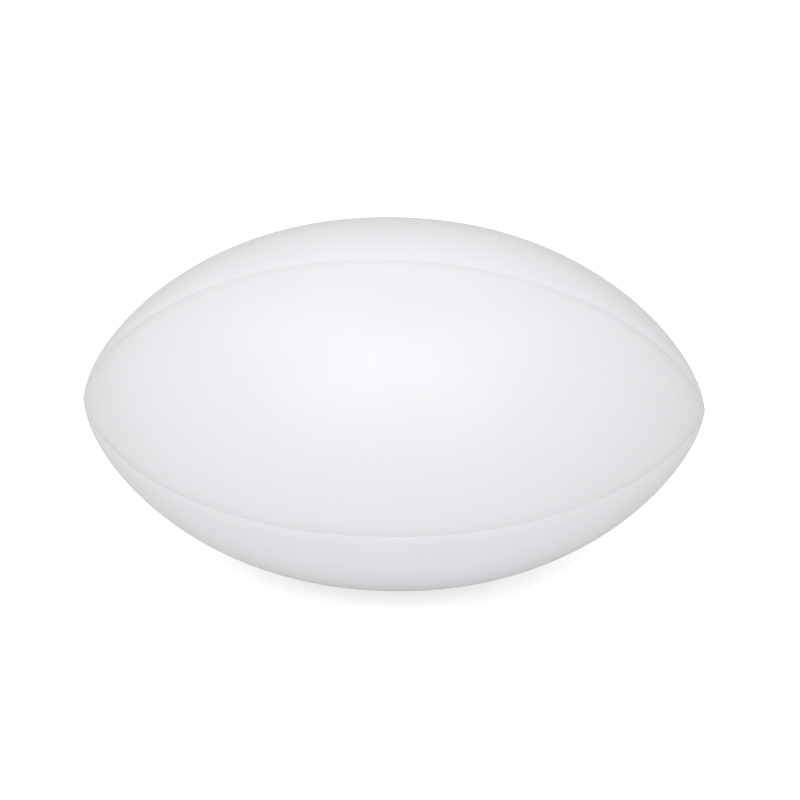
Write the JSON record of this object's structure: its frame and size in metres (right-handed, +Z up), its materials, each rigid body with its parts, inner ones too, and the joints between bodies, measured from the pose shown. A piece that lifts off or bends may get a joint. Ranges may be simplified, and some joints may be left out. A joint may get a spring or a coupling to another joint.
{
  "type": "rugby ball",
  "caption": "Plain white rugby ball with smooth stitched panels, cloth lining plies, a bladder and an inflation valve.",
  "frame": {"origin": "centre of the ball, half way along its length and on its long axis", "axes": "+X along the ball's long axis, +Z up as it lies, with one seam near the top and one near the front (-Y)"},
  "size_m": [0.2998, 0.1778, 0.1778],
  "materials": {
    "skin": "smooth white PVC with a soft satin shine",
    "cotton": "plain woven natural cotton",
    "polyester": "plain woven grey polyester",
    "thread": "waxed twisted thread",
    "bladder_rubber": "dull black butyl",
    "patch_cloth": "rubbered cloth",
    "valve_rubber": "moulded black rubber",
    "core_rubber": "soft dark grey rubber"
  },
  "bodies": {
    "root": {"panel_top_back": "skin", "panel_top_front": "skin", "panel_bottom_front": "skin", "panel_bottom_back": "skin", "cotton_ply_top_back": "cotton", "cotton_ply_top_front": "cotton", "cotton_ply_bottom_front": "cotton", "cotton_ply_bottom_back": "cotton", "polyester_ply_top_back": "polyester", "polyester_ply_top_front": "polyester", "polyester_ply_bottom_front": "polyester", "polyester_ply_bottom_back": "polyester", "needle_thread_back": "thread", "needle_thread_top": "thread", "needle_thread_front": "thread", "needle_thread_bottom": "thread", "bobbin_thread_back": "thread", "bobbin_thread_top": "thread", "bobbin_thread_front": "thread", "bobbin_thread_bottom": "thread", "bladder": "bladder_rubber", "bladder_patch": "bladder_rubber", "lining_patch": "patch_cloth", "valve_housing": "valve_rubber", "valve_core": "core_rubber"}
  },
  "joints": []
}
